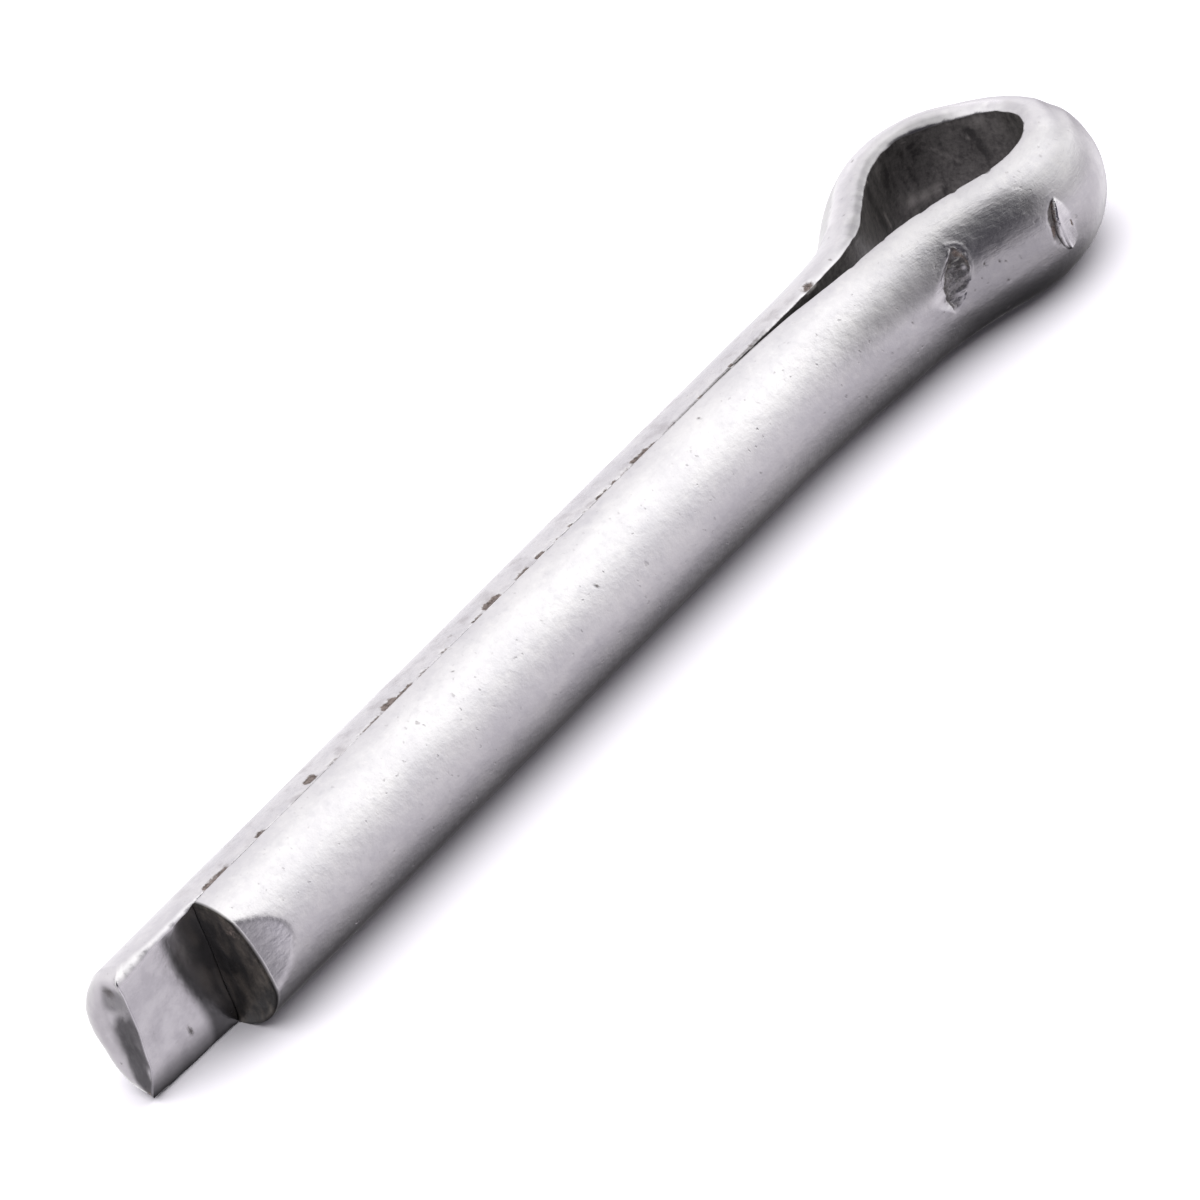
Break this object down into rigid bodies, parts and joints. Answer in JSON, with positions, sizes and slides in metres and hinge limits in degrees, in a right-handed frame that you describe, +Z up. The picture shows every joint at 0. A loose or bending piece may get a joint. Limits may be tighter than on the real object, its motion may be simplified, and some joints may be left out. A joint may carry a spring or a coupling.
{
  "type": "cotter pin",
  "caption": "Split pin of half-round steel wire folded flat to flat, with a round shank, uneven prong ends and a lop-sided eye.",
  "frame": {"origin": "on the shank's axis, at the end of the straight round shank, where the short prong's wire starts to part from the long prong's", "axes": "+X along the shank towards the eye, +Y towards the long prong's side, +Z up along the eye's hole; the pin lies flat, with its lowest line at Z -2.3 mm"},
  "size_m": [0.0459, 0.0089, 0.0046],
  "materials": {
    "pin_steel": "satin, finely pitted, with dirt in the seam"
  },
  "bodies": {
    "root": {"cotter_pin": "pin_steel"}
  },
  "joints": []
}
